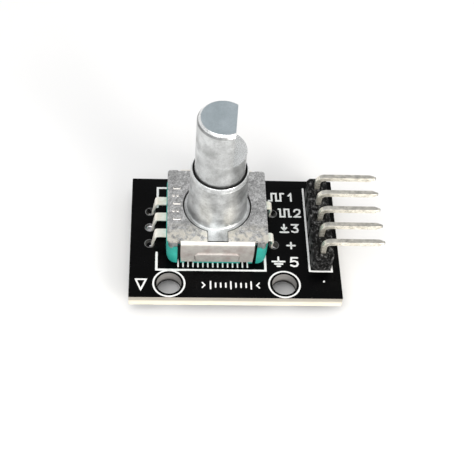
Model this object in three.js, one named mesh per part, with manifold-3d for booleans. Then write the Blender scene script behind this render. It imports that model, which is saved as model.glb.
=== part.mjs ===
// A push-button rotary encoder soldered on a small circuit board with a right-angle pin header.
// Lengths are millimetres. The origin is on the shaft's axis, at the underside of the board.
// +Z points up along the shaft, +X towards the header pins and -Y towards the mounting holes.

import * as THREE from "three";
import { mergeVertices } from "three/addons/utils/BufferGeometryUtils.js";
import Module from "manifold-3d";

const wasm = await Module();
wasm.setup();

// Circuit board
const BOARD_LENGTH = 26;
const BOARD_WIDTH = 18.5;
const BOARD_THICKNESS = 1.6;
const BOARD_CENTRE_X = 2.35;
const BOARD_CENTRE_Y = -1.25;
const MOUNTING_HOLE_RADIUS = 1.5;
const MOUNTING_HOLE_Y = -8.45;
const MOUNTING_HOLES_X = [-5.8, 8.3];

// Heights of the encoder's layers, measured up from the board's top face
const SWITCH_FLOOR = 0.25;
const SWITCH_TOP = 1.3;
const CAVITY_FLOOR = 1.7;
const HOUSING_TOP = 3.35;
const PLATE_BOTTOM = 4.35;
const PLATE_TOP = 4.7;
const BUSHING_TOP = 11.7;
const FLAT_BOTTOM = 15.05;
const SHAFT_TOP = 20.35;

// Housings and cover
const HOUSING_LENGTH = 12.4;
const HOUSING_WIDTH = 11;
const HOUSING_CORNER = 1.2;
const SWITCH_INSET = 0.05;
const CAVITY_RADIUS = 4.75;
const PLATE_LENGTH = 12.2;
const PLATE_WIDTH = 11.1;
const PLATE_CORNER = 0.4;
const PLATE_OPENING_RADIUS = 4.22;
const KEYWAY_WIDTH = 2.5;
const LEG_WIDTH = 8.9;
const LEG_BOTTOM = 1;
const FOLD_RADIUS = 0.4;
const RELIEF_SLOT_WIDTH = 0.4;
const RIB_HALF_LENGTH = 2.65;
const SHEET = 0.35;

// Bushing and shaft
const BUSHING_BASE_LENGTH = 11.9;
const BUSHING_BASE_WIDTH = 10.8;
const BUSHING_BASE_CORNER = 0.5;
const COLLAR_RADIUS = 4.05;
const COLLAR_TOP = 4.62;
const BUSHING_FOOT_RADIUS = 3.62;
const BUSHING_TOP_RADIUS = 3.42;
const BORE_RADIUS = 3.05;
const COUNTERBORE_RADIUS = 3.2;
const COUNTERBORE_DEPTH = 0.5;
const SHAFT_RADIUS = 3;
const SHAFT_CHAMFER = 0.4;
const SHAFT_GROOVE_RADIUS = 2.2;
const SHAFT_FLAT_DISTANCE = 1.5;
const SHAFT_REST_TURN = THREE.MathUtils.degToRad(-5);
const DETENTS = 20;
const DETENT_INNER_RADIUS = 3.8;
const DETENT_OUTER_RADIUS = 4.6;

// Terminals
const TERMINAL_PITCH = 2.5;
const SIGNAL_TERMINAL_TOP = 2.35;
const SIGNAL_TERMINAL_WIDTH = 1.2;
const SIGNAL_KNEE_X = -7.65;
const SIGNAL_LEG_X = -8.05;
const SIGNAL_HOLE_X = -8.25;
const SWITCH_TERMINAL_TOP = 1.8;
const SWITCH_TERMINAL_WIDTH = 1.2;
const SWITCH_LEG_X = 7.15;
const SWITCH_HOLE_X = 7.3;
const TERMINAL_HOLE_RADIUS = 0.6;
const TERMINAL_LEG_WIDTH = 0.5;
const TERMINAL_SHEET = 0.25;

// Pin header
const PIN_PITCH = 2.54;
const PIN_SIZE = 0.64;
const PIN_X = 13.03;
const PIN_TIP_X = 20.37;
const PIN_HEIGHT = 4.25;
const PIN_HOLE_RADIUS = 0.5;
const HEADER_HEIGHT = 2.54;

// Everything soldered ends this far below the board's underside
const TAIL_LENGTH = 1.5;
const SOLDER_LENGTH = 0.95;

// Pull-up resistors under the board
const RESISTOR_LENGTH = 2;
const RESISTOR_WIDTH = 1.25;
const RESISTOR_HEIGHT = 0.5;
const RESISTOR_X = 10.2;
const RESISTORS_Y = [1.9, -1.9];

const FINE = 64;
const MEDIUM = 36;
const SMALL = 16;

const LOOKS = {
  solderMask: { color: 0x0b0c0d, roughness: 0.3, metalness: 0 },
  coverSteel: { color: 0xa9a8a2, roughness: 0.45, metalness: 0.9 },
  dieCast: { color: 0x9c9fa0, roughness: 0.5, metalness: 0.9 },
  springSteel: { color: 0xc0b48c, roughness: 0.35, metalness: 1 },
  tealPlastic: { color: 0x2fa595, roughness: 0.5, metalness: 0 },
  blackPlastic: { color: 0x17181a, roughness: 0.45, metalness: 0 },
  paleResin: { color: 0xd8d2bf, roughness: 0.6, metalness: 0 },
  tinnedTerminal: { color: 0xe3dcc3, roughness: 0.4, metalness: 0.8 },
  platedPin: { color: 0xcfc9b6, roughness: 0.35, metalness: 0.9 },
  solder: { color: 0xb9bbbd, roughness: 0.3, metalness: 1 },
  resistorCeramic: { color: 0x1d1e20, roughness: 0.5, metalness: 0 },
};

// Heights given from the board's top face become heights in the part's frame.
function above(height) {
  return BOARD_THICKNESS + height;
}

function solid(geometry) {
  const bare = geometry.index ? geometry.toNonIndexed() : geometry.clone();
  bare.deleteAttribute("normal");
  bare.deleteAttribute("uv");
  const merged = mergeVertices(bare, 1e-5);
  return new wasm.Manifold(
    new wasm.Mesh({
      numProp: 3,
      vertProperties: merged.attributes.position.array,
      triVerts: new Uint32Array(merged.index.array),
    }),
  );
}

function box(x, y, z) {
  const geometry = new THREE.BoxGeometry(x[1] - x[0], y[1] - y[0], z[1] - z[0]);
  geometry.translate((x[0] + x[1]) / 2, (y[0] + y[1]) / 2, (z[0] + z[1]) / 2);
  return solid(geometry);
}

function cylinder(radius, z, segments, x = 0, y = 0) {
  const geometry = new THREE.CylinderGeometry(radius, radius, z[1] - z[0], segments);
  geometry.rotateX(Math.PI / 2);
  geometry.translate(x, y, (z[0] + z[1]) / 2);
  return solid(geometry);
}

// Turns a profile of [radius, height] points round the Z axis, from its lowest point upwards.
function turned(profile, segments, x = 0, y = 0) {
  const points = profile.map(([radius, height]) => new THREE.Vector2(radius, height));
  const geometry = new THREE.LatheGeometry(points, segments);
  geometry.rotateX(Math.PI / 2);
  geometry.translate(x, y, 0);
  return solid(geometry);
}

function extruded(shape, depth) {
  return new THREE.ExtrudeGeometry(shape, { depth, bevelEnabled: false, curveSegments: 6 });
}

// A shape drawn in plan and raised from one height to another.
function slab(shape, z) {
  return solid(extruded(shape, z[1] - z[0]).translate(0, 0, z[0]));
}

// A shape drawn in X and Z, as seen from the front, and extruded along Y.
function sidePrism(shape, y) {
  const geometry = extruded(shape, y[1] - y[0]);
  geometry.rotateX(Math.PI / 2);
  return solid(geometry.translate(0, y[1], 0));
}

// A shape drawn in Y and Z, as seen from the end, and extruded along X.
function endPrism(shape, x) {
  const turn = new THREE.Matrix4().makeBasis(
    new THREE.Vector3(0, 1, 0),
    new THREE.Vector3(0, 0, 1),
    new THREE.Vector3(1, 0, 0),
  );
  return solid(extruded(shape, x[1] - x[0]).applyMatrix4(turn).translate(x[0], 0, 0));
}

function outline(points) {
  return new THREE.Shape(points.map(([a, b]) => new THREE.Vector2(a, b)));
}

function roundedRectangle(length, width, corner) {
  const a = length / 2;
  const b = width / 2;
  const shape = new THREE.Shape();
  shape.moveTo(-a + corner, -b);
  shape.lineTo(a - corner, -b);
  shape.absarc(a - corner, -b + corner, corner, -Math.PI / 2, 0);
  shape.absarc(a - corner, b - corner, corner, 0, Math.PI / 2);
  shape.absarc(-a + corner, b - corner, corner, Math.PI / 2, Math.PI);
  shape.absarc(-a + corner, -b + corner, corner, Math.PI, 1.5 * Math.PI);
  return shape;
}

function meshOf(name, body, look) {
  const { vertProperties, triVerts } = body.getMesh();
  const geometry = new THREE.BufferGeometry();
  geometry.setAttribute("position", new THREE.BufferAttribute(vertProperties, 3));
  geometry.setIndex(new THREE.BufferAttribute(triVerts, 1));
  geometry.computeVertexNormals();
  const mesh = new THREE.Mesh(geometry, new THREE.MeshStandardMaterial(look));
  mesh.name = name;
  return mesh;
}

// The rows of pins and terminals along Y.
const pinRows = [2, 1, 0, -1, -2].map((step) => step * PIN_PITCH);
const signalRows = { a: TERMINAL_PITCH, c: 0, b: -TERMINAL_PITCH };
const switchRows = { d: TERMINAL_PITCH, e: -TERMINAL_PITCH };

// Every through-hole of the board: [x, y, radius, segments].
function boardHoles() {
  const signals = Object.values(signalRows).map((y) => [SIGNAL_HOLE_X, y]);
  const switches = Object.values(switchRows).map((y) => [SWITCH_HOLE_X, y]);
  return [
    ...MOUNTING_HOLES_X.map((x) => [x, MOUNTING_HOLE_Y, MOUNTING_HOLE_RADIUS, MEDIUM]),
    ...pinRows.map((y) => [PIN_X, y, PIN_HOLE_RADIUS, SMALL]),
    ...[...signals, ...switches].map(([x, y]) => [x, y, TERMINAL_HOLE_RADIUS, SMALL]),
  ];
}

function circuitBoard() {
  const halfLength = BOARD_LENGTH / 2;
  const halfWidth = BOARD_WIDTH / 2;
  let board = box(
    [BOARD_CENTRE_X - halfLength, BOARD_CENTRE_X + halfLength],
    [BOARD_CENTRE_Y - halfWidth, BOARD_CENTRE_Y + halfWidth],
    [0, BOARD_THICKNESS],
  );
  for (const [x, y, radius, segments] of boardHoles())
    board = board.subtract(cylinder(radius, [-1, BOARD_THICKNESS + 1], segments, x, y));
  return board;
}

// A flat strip that leaves the housing at one side, bends at its knee and goes down to the board.
// It is drawn towards +X, and mirrored to point towards -X where side is -1.
function terminal({ side, y, width, top, innerX, kneeX, legX, bend }) {
  const knee = Math.abs(kneeX);
  const outer = Math.abs(legX);
  const tail = -TAIL_LENGTH;
  const profile = new THREE.Shape();
  profile.moveTo(innerX, above(top - TERMINAL_SHEET));
  profile.lineTo(innerX, above(top));
  profile.lineTo(knee - bend, above(top));
  profile.absarc(knee - bend, above(top - bend), bend, Math.PI / 2, 0, true);
  profile.lineTo(outer, above(0));
  profile.lineTo(outer, tail);
  profile.lineTo(outer - TERMINAL_SHEET, tail);
  profile.lineTo(outer - TERMINAL_SHEET, above(0));
  profile.lineTo(knee - TERMINAL_SHEET, above(top - bend));
  profile.absarc(knee - bend, above(top - bend), bend - TERMINAL_SHEET, 0, Math.PI / 2);
  const strip = sidePrism(profile, [y - width / 2, y + width / 2]);
  const shoulder = above(top - bend - 0.2);
  const neck = above(0.4);
  const half = TERMINAL_LEG_WIDTH / 2;
  const front = outline([
    [y - half / 2, tail],
    [y + half / 2, tail],
    [y + half, tail + 0.4],
    [y + half, neck],
    [y + width / 2, Math.max(shoulder, neck + 0.3)],
    [y + width / 2, above(top + 1)],
    [y - width / 2, above(top + 1)],
    [y - width / 2, Math.max(shoulder, neck + 0.3)],
    [y - half, neck],
    [y - half, tail + 0.4],
  ]);
  const piece = strip.intersect(endPrism(front, [0, outer + 1]));
  return side < 0 ? piece.mirror([1, 0, 0]) : piece;
}

function signalTerminal(y) {
  return terminal({
    side: -1,
    y,
    width: SIGNAL_TERMINAL_WIDTH,
    top: SIGNAL_TERMINAL_TOP,
    innerX: 5,
    kneeX: SIGNAL_KNEE_X,
    legX: SIGNAL_LEG_X,
    bend: 0.4,
  });
}

function switchTerminal(y) {
  return terminal({
    side: 1,
    y,
    width: SWITCH_TERMINAL_WIDTH,
    top: SWITCH_TERMINAL_TOP,
    innerX: 4.5,
    kneeX: SWITCH_LEG_X,
    legX: SWITCH_LEG_X,
    bend: 0.5,
  });
}

// A spring arm that starts under a signal terminal's inner end and rises to the code disc.
function wiper(y) {
  const contactX = y === 0 ? -4 : -3.2;
  const footTop = above(SIGNAL_TERMINAL_TOP - TERMINAL_SHEET);
  const footBottom = footTop - 0.2;
  const profile = outline([
    [-5.3, footBottom],
    [-4.9, footBottom],
    [contactX + 0.1, above(1.94)],
    [contactX + 0.35, above(1.86)],
    [contactX + 0.35, above(1.94)],
    [contactX, above(2.07)],
    [-4.9, footBottom + 0.1],
    [-5, footTop],
    [-5.3, footTop],
  ]);
  return sidePrism(profile, [y - 0.3, y + 0.3]);
}

function encoderHousing() {
  const shell = roundedRectangle(HOUSING_LENGTH, HOUSING_WIDTH, HOUSING_CORNER);
  const cavity = [above(CAVITY_FLOOR), above(HOUSING_TOP + 1)];
  let housing = slab(shell, [above(SWITCH_TOP), above(HOUSING_TOP)]);
  housing = housing.subtract(cylinder(CAVITY_RADIUS, cavity, FINE));
  housing = housing.subtract(cylinder(2.95, [above(0), above(2)], MEDIUM));
  for (const y of Object.values(signalRows)) {
    const half = SIGNAL_TERMINAL_WIDTH / 2;
    const strip = [above(SIGNAL_TERMINAL_TOP - TERMINAL_SHEET), above(SIGNAL_TERMINAL_TOP)];
    const wiperRoom = [above(CAVITY_FLOOR), strip[1]];
    housing = housing.subtract(box([-7, -4], [y - half, y + half], strip));
    housing = housing.subtract(box([-5.3, -3.5], [y - 0.4, y + 0.4], wiperRoom));
  }
  for (const y of Object.values(switchRows)) {
    const half = SWITCH_TERMINAL_WIDTH / 2;
    const strip = [above(SWITCH_TERMINAL_TOP - TERMINAL_SHEET), above(SWITCH_TERMINAL_TOP)];
    housing = housing.subtract(box([4.5, 7], [y - half, y + half], strip));
    housing = housing.subtract(box([4.5, 4.75], [y - 0.3, y + 0.3], [above(1), strip[0]]));
  }
  return housing;
}

function switchHousing() {
  const shell = roundedRectangle(
    HOUSING_LENGTH - 2 * SWITCH_INSET,
    HOUSING_WIDTH - 2 * SWITCH_INSET,
    HOUSING_CORNER - SWITCH_INSET,
  );
  const room = [above(SWITCH_FLOOR), above(SWITCH_TOP + 1)];
  let housing = slab(shell, [above(0), above(SWITCH_TOP)]);
  housing = housing.subtract(cylinder(2.6, room, MEDIUM));
  for (const y of Object.values(switchRows))
    housing = housing.subtract(box([0, 4.75], [y - 0.35, y + 0.35], room));
  return housing;
}

// The switch has two fixed contacts: a ring that the dome stands on, and a pad under its middle.
// Each has a tongue that turns up to touch its terminal's underside.
function contactTongue(x, y) {
  const sheet = [above(SWITCH_FLOOR), above(SWITCH_FLOOR + 0.1)];
  const riser = [above(SWITCH_FLOOR), above(SWITCH_TERMINAL_TOP - TERMINAL_SHEET)];
  const strip = box([x, 4.7], [y - 0.25, y + 0.25], sheet);
  return strip.add(box([4.55, 4.7], [y - 0.25, y + 0.25], riser));
}

function switchContactRing() {
  const sheet = [above(SWITCH_FLOOR), above(SWITCH_FLOOR + 0.1)];
  const gap = box([0.5, 3], [-3, -0.9], [above(0), above(1)]);
  const ring = cylinder(2.5, sheet, MEDIUM).subtract(cylinder(1.9, [above(0), above(1)], MEDIUM));
  return ring.subtract(gap).add(contactTongue(0.2, switchRows.d - 0.05));
}

function switchContactPad() {
  const sheet = [above(SWITCH_FLOOR), above(SWITCH_FLOOR + 0.1)];
  const pad = cylinder(0.8, sheet, SMALL).add(box([0.4, 1.3], [-0.25, 0.25], sheet));
  const link = box([1, 1.4], [switchRows.e, 0.25], sheet);
  return pad.add(link).add(contactTongue(1, switchRows.e + 0.05));
}

// A shallow steel cap that snaps flat when it is pressed.
function switchDome() {
  const steps = 6;
  const rim = 2.3;
  const foot = above(SWITCH_FLOOR + 0.1);
  const rise = 0.58;
  const thickness = 0.08;
  const upper = [];
  const lower = [];
  for (let i = 0; i <= steps; i += 1) {
    const share = i / steps;
    const height = foot + rise * Math.cos((share * Math.PI) / 2);
    upper.push([rim * share, Math.max(height, foot)]);
    lower.push([(rim - thickness) * share, Math.max(height - thickness * (1 - share), foot)]);
  }
  return turned([...lower, ...upper.reverse()], SMALL);
}

function switchPlunger() {
  const button = cylinder(1.5, [above(0.95), above(1.22)], MEDIUM);
  return button.add(cylinder(2.2, [above(0.95), above(1.05)], MEDIUM));
}

// The plate's front and back edges fold down into legs with a pressed rib on the outside.
function coverLeg() {
  const foldY = PLATE_WIDTH / 2 - 0.05;
  const outer = foldY + FOLD_RADIUS;
  const fold = new THREE.Shape();
  fold.moveTo(foldY - 0.5, above(PLATE_BOTTOM));
  fold.lineTo(foldY, above(PLATE_BOTTOM));
  fold.lineTo(outer - SHEET, above(PLATE_BOTTOM - 0.05));
  fold.lineTo(outer - SHEET, above(LEG_BOTTOM));
  fold.lineTo(outer, above(LEG_BOTTOM));
  fold.absarc(foldY, above(PLATE_TOP - FOLD_RADIUS), FOLD_RADIUS, 0, Math.PI / 2);
  fold.lineTo(foldY - 0.5, above(PLATE_TOP));
  const rib = outline([
    [outer - 0.1, above(LEG_BOTTOM + 0.15)],
    [outer + 0.2, above(LEG_BOTTOM + 0.3)],
    [outer + 0.2, above(LEG_BOTTOM + 1.5)],
    [outer - 0.1, above(LEG_BOTTOM + 1.8)],
  ]);
  const leg = endPrism(fold, [-LEG_WIDTH / 2, LEG_WIDTH / 2]);
  return leg.add(endPrism(rib, [-RIB_HALF_LENGTH, RIB_HALF_LENGTH]));
}

// The cover has a round opening for the collar, a keyway for its tab, and a slot beside each leg.
function coverPlate() {
  const room = [above(PLATE_BOTTOM - 1), above(PLATE_TOP + 1)];
  const halfWidth = PLATE_WIDTH / 2;
  const halfLeg = LEG_WIDTH / 2;
  const halfKeyway = KEYWAY_WIDTH / 2;
  const slotEnd = halfLeg + RELIEF_SLOT_WIDTH;
  const sheet = roundedRectangle(PLATE_LENGTH, PLATE_WIDTH, PLATE_CORNER);
  let plate = slab(sheet, [above(PLATE_BOTTOM), above(PLATE_TOP)]);
  for (const side of [-1, 1]) {
    const edge = [side * (halfWidth - 0.05), side * (halfWidth + 1)].sort((a, b) => a - b);
    const relief = [side * (halfWidth - 0.1), side * (halfWidth + 1)].sort((a, b) => a - b);
    plate = plate.subtract(box([-halfLeg, halfLeg], edge, room));
    plate = plate.subtract(box([-slotEnd, -halfLeg], relief, room));
    plate = plate.subtract(box([halfLeg, slotEnd], relief, room));
  }
  const leg = coverLeg();
  plate = plate.add(leg).add(leg.mirror([0, 1, 0]));
  plate = plate.subtract(cylinder(PLATE_OPENING_RADIUS, room, FINE));
  return plate.subtract(box([-halfKeyway, halfKeyway], [-halfWidth - 0.05, -3.5], room));
}

// One casting: a square base, a collar with a key tab, and the barrel that guides the shaft.
// The underside of the base carries the notches that the detent spring clicks into.
function bushing() {
  const base = roundedRectangle(BUSHING_BASE_LENGTH, BUSHING_BASE_WIDTH, BUSHING_BASE_CORNER);
  const barrel = [
    [0, above(HOUSING_TOP)],
    [COLLAR_RADIUS, above(HOUSING_TOP)],
    [COLLAR_RADIUS, above(COLLAR_TOP)],
    [BUSHING_FOOT_RADIUS + 0.12, above(COLLAR_TOP)],
    [BUSHING_FOOT_RADIUS + 0.03, above(COLLAR_TOP + 0.1)],
    [BUSHING_FOOT_RADIUS, above(COLLAR_TOP + 0.3)],
    [BUSHING_TOP_RADIUS, above(BUSHING_TOP - 0.35)],
    [BUSHING_TOP_RADIUS - 0.06, above(BUSHING_TOP - 0.12)],
    [BUSHING_TOP_RADIUS - 0.16, above(BUSHING_TOP)],
    [0, above(BUSHING_TOP)],
  ];
  const halfTab = KEYWAY_WIDTH / 2 - 0.06;
  const tabEnd = -BUSHING_BASE_WIDTH / 2;
  const keyTab = box([-halfTab, halfTab], [tabEnd, -3], [above(4), above(COLLAR_TOP)]);
  const counterbore = [above(BUSHING_TOP - COUNTERBORE_DEPTH), above(BUSHING_TOP + 1)];
  let body = slab(base, [above(HOUSING_TOP), above(PLATE_BOTTOM)]);
  body = body.add(turned(barrel, FINE)).add(keyTab);
  body = body.subtract(cylinder(BORE_RADIUS, [above(0), above(BUSHING_TOP + 1)], FINE));
  body = body.subtract(cylinder(COUNTERBORE_RADIUS, counterbore, FINE));
  const notch = [above(HOUSING_TOP - 0.5), above(HOUSING_TOP + 0.15)];
  for (let i = 0; i < DETENTS; i += 1) {
    const angle = THREE.MathUtils.radToDeg(SHAFT_REST_TURN) + (i * 360) / DETENTS;
    const groove = box([DETENT_INNER_RADIUS, DETENT_OUTER_RADIUS], [-0.26, 0.26], notch);
    body = body.subtract(groove.rotate([0, 0, angle]));
  }
  return body;
}

// A disc of the given radius with two parallel flats, the section of the shaft's foot.
function doubleFlat(radius, halfFlat, z) {
  const flats = box([-radius - 1, radius + 1], [-halfFlat, halfFlat], z);
  return cylinder(radius, z, MEDIUM).intersect(flats);
}

// The shaft stands on a foot with two flats, which turns the rotor and slides in it when pressed.
function shaft() {
  const profile = [
    [0, above(3.02)],
    [SHAFT_GROOVE_RADIUS, above(3.02)],
    [SHAFT_GROOVE_RADIUS, above(HOUSING_TOP - 0.02)],
    [SHAFT_RADIUS, above(HOUSING_TOP - 0.02)],
    [SHAFT_RADIUS, above(SHAFT_TOP - SHAFT_CHAMFER)],
    [SHAFT_RADIUS - SHAFT_CHAMFER, above(SHAFT_TOP)],
    [0, above(SHAFT_TOP)],
  ];
  const beyondFlat = [SHAFT_FLAT_DISTANCE, SHAFT_RADIUS + 1];
  const flatCut = box(beyondFlat, [-4, 4], [above(FLAT_BOTTOM), above(SHAFT_TOP + 1)]);
  const foot = doubleFlat(2.75, 2, [above(1.85), above(3.02)]);
  const tip = cylinder(1.4, [above(1.25), above(1.85)], MEDIUM);
  return turned(profile, FINE).subtract(flatCut).add(foot).add(tip);
}

// An open spring washer in the shaft's groove, wider than the bushing's bore.
function retainingClip() {
  const z = [above(3.05), above(3.3)];
  const ring = cylinder(3.6, z, MEDIUM).subtract(cylinder(2.25, [above(2), above(4)], MEDIUM));
  return ring.subtract(box([0, 5], [-1.6, 1.6], [above(2), above(4)]));
}

function rotor() {
  const rim = cylinder(4.65, [above(2.2), above(3)], MEDIUM);
  const hub = cylinder(3.4, [above(1.75), above(2.2)], MEDIUM);
  const recess = cylinder(3.7, [above(2.5), above(4)], MEDIUM);
  const hole = doubleFlat(2.8, 2.05, [above(0), above(4)]);
  return rim.add(hub).subtract(recess).subtract(hole);
}

// A stamped ring with one tooth per detent: the outer teeth make and break the two signals.
function codeDisc() {
  const z = [above(2.1), above(2.2)];
  const inner = cylinder(3.5, [above(2), above(3)], MEDIUM);
  let disc = cylinder(4, z, MEDIUM);
  for (let i = 0; i < DETENTS; i += 1) {
    const tooth = box([3.8, 4.55], [-0.32, 0.32], z);
    disc = disc.add(tooth.rotate([0, 0, (i * 360) / DETENTS]));
  }
  return disc.subtract(inner);
}

// The spring is drawn pressed flat, as it is between two detents, so its bumps clear the bushing.
function detentSpring() {
  const room = [above(2), above(4)];
  let spring = cylinder(4.55, [above(3), above(3.08)], MEDIUM).subtract(cylinder(3.8, room, MEDIUM));
  for (const x of [-4.2, 4.2]) {
    const bump = new THREE.CylinderGeometry(0.14, 0.14, 0.6, SMALL);
    bump.rotateZ(Math.PI / 2);
    bump.translate(x, 0, above(3.18));
    spring = spring.add(solid(bump));
  }
  return spring;
}

// The housing has one cell for each pin, with chamfered corners where the cells meet.
function headerHousing() {
  const half = PIN_PITCH / 2;
  const chamfer = 0.38;
  const right = [];
  const left = [];
  for (const y of pinRows) {
    right.push([PIN_X + half - chamfer, y + half]);
    right.push([PIN_X + half, y + half - chamfer]);
    right.push([PIN_X + half, y - half + chamfer]);
    left.unshift([PIN_X - half + chamfer, y + half]);
    left.unshift([PIN_X - half, y + half - chamfer]);
    left.unshift([PIN_X - half, y - half + chamfer]);
  }
  const last = pinRows[pinRows.length - 1] - half;
  const end = [
    [PIN_X + half - chamfer, last],
    [PIN_X - half + chamfer, last],
  ];
  let housing = slab(outline([...left, ...right, ...end]), [above(0), above(HEADER_HEIGHT)]);
  const pin = PIN_SIZE / 2;
  const through = [above(-1), above(HEADER_HEIGHT + 1)];
  for (const y of pinRows)
    housing = housing.subtract(box([PIN_X - pin, PIN_X + pin], [y - pin, y + pin], through));
  return housing;
}

// A square pin that rises through its housing, bends and points along +X, tapered at both ends.
function headerPin(y) {
  const half = PIN_SIZE / 2;
  const tip = 0.15;
  const taper = 0.7;
  const bend = 0.5;
  const tail = -TAIL_LENGTH;
  const level = above(PIN_HEIGHT);
  const centreX = PIN_X + half + bend;
  const centreZ = level - half - bend;
  const profile = new THREE.Shape();
  profile.moveTo(PIN_X + half, tail);
  profile.lineTo(PIN_X + half, centreZ);
  profile.absarc(centreX, centreZ, bend, Math.PI, Math.PI / 2, true);
  profile.lineTo(PIN_TIP_X - taper, level - half);
  profile.lineTo(PIN_TIP_X, level - tip);
  profile.lineTo(PIN_TIP_X, level + tip);
  profile.lineTo(PIN_TIP_X - taper, level + half);
  profile.lineTo(centreX, level + half);
  profile.absarc(centreX, centreZ, bend + PIN_SIZE, Math.PI / 2, Math.PI);
  profile.lineTo(PIN_X - half, tail);
  const plan = outline([
    [PIN_X - 2, y - half],
    [PIN_TIP_X - taper, y - half],
    [PIN_TIP_X, y - tip],
    [PIN_TIP_X, y + tip],
    [PIN_TIP_X - taper, y + half],
    [PIN_X - 2, y + half],
  ]);
  const end = outline([
    [y - tip, tail],
    [y + tip, tail],
    [y + half, tail + 0.4],
    [y + half, level + 2],
    [y - half, level + 2],
    [y - half, tail + 0.4],
  ]);
  const wire = sidePrism(profile, [y - half, y + half]);
  const fromAbove = slab(plan, [tail - 1, level + 2]);
  const fromTheEnd = endPrism(end, [PIN_X - 2, PIN_TIP_X + 1]);
  return wire.intersect(fromAbove).intersect(fromTheEnd);
}

// Solder fills the plated hole and forms a fillet on the underside, round the wire it holds.
function solderJoint(wire, x, y, holeRadius, fillTop) {
  const fillet = [
    [0, -SOLDER_LENGTH],
    [holeRadius + 0.02, -SOLDER_LENGTH],
    [holeRadius + 0.1, -0.45],
    [holeRadius + 0.4, 0],
    [0, 0],
  ];
  const barrel = cylinder(holeRadius, [-0.1, fillTop], SMALL, x, y);
  return turned(fillet, SMALL, x, y).add(barrel).subtract(wire);
}

function resistor(y) {
  const halfLength = RESISTOR_LENGTH / 2;
  const halfWidth = RESISTOR_WIDTH / 2;
  const body = box(
    [RESISTOR_X - halfLength + 0.1, RESISTOR_X + halfLength - 0.1],
    [y - halfWidth + 0.03, y + halfWidth - 0.03],
    [-RESISTOR_HEIGHT, 0],
  );
  const cap = [y - halfWidth, y + halfWidth];
  const height = [-RESISTOR_HEIGHT - 0.03, 0];
  const first = box([RESISTOR_X - halfLength, RESISTOR_X - halfLength + 0.4], cap, height);
  const second = box([RESISTOR_X + halfLength - 0.4, RESISTOR_X + halfLength], cap, height);
  return body.add(first).add(second);
}

const encoder = new THREE.Group();

encoder.add(meshOf("circuit_board", circuitBoard(), LOOKS.solderMask));
encoder.add(meshOf("switch_housing", switchHousing(), LOOKS.tealPlastic));
encoder.add(meshOf("encoder_housing", encoderHousing(), LOOKS.tealPlastic));
encoder.add(meshOf("bushing", bushing(), LOOKS.dieCast));
encoder.add(meshOf("cover_plate", coverPlate(), LOOKS.coverSteel));
encoder.add(meshOf("switch_contact_ring", switchContactRing(), LOOKS.springSteel));
encoder.add(meshOf("switch_contact_pad", switchContactPad(), LOOKS.springSteel));
encoder.add(meshOf("switch_dome", switchDome(), LOOKS.springSteel));
encoder.add(meshOf("switch_plunger", switchPlunger(), LOOKS.paleResin));

for (const [letter, y] of Object.entries(signalRows)) {
  const piece = signalTerminal(y);
  const joint = solderJoint(piece, SIGNAL_HOLE_X, y, TERMINAL_HOLE_RADIUS, BOARD_THICKNESS - 0.4);
  encoder.add(meshOf(`terminal_${letter}`, piece, LOOKS.tinnedTerminal));
  encoder.add(meshOf(`wiper_${letter}`, wiper(y), LOOKS.springSteel));
  encoder.add(meshOf(`solder_terminal_${letter}`, joint, LOOKS.solder));
}

for (const [letter, y] of Object.entries(switchRows)) {
  const piece = switchTerminal(y);
  const joint = solderJoint(piece, SWITCH_HOLE_X, y, TERMINAL_HOLE_RADIUS, BOARD_THICKNESS - 0.4);
  encoder.add(meshOf(`terminal_${letter}`, piece, LOOKS.tinnedTerminal));
  encoder.add(meshOf(`solder_terminal_${letter}`, joint, LOOKS.solder));
}

encoder.add(meshOf("header_housing", headerHousing(), LOOKS.blackPlastic));
pinRows.forEach((y, i) => {
  const pin = headerPin(y);
  const joint = solderJoint(pin, PIN_X, y, PIN_HOLE_RADIUS, BOARD_THICKNESS);
  encoder.add(meshOf(`header_pin_${i + 1}`, pin, LOOKS.platedPin));
  encoder.add(meshOf(`solder_pin_${i + 1}`, joint, LOOKS.solder));
});

RESISTORS_Y.forEach((y, i) => {
  encoder.add(meshOf(`pull_up_resistor_${i + 1}`, resistor(y), LOOKS.resistorCeramic));
});

// What turns with the knob, at the angle where the shaft rests in a detent.
const turning = new THREE.Group();
turning.rotation.z = SHAFT_REST_TURN;
turning.add(meshOf("shaft", shaft(), LOOKS.dieCast));
turning.add(meshOf("retaining_clip", retainingClip(), LOOKS.springSteel));
turning.add(meshOf("rotor", rotor(), LOOKS.paleResin));
turning.add(meshOf("code_disc", codeDisc(), LOOKS.springSteel));
turning.add(meshOf("detent_spring", detentSpring(), LOOKS.springSteel));
encoder.add(turning);

export default encoder;
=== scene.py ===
# The looks of a push-button rotary encoder on its small board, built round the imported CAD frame.
# Pieces are drawn in millimetres, and finished() turns them into metres.
import math

import bmesh
import bpy
from mathutils import Matrix, Vector, noise


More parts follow.
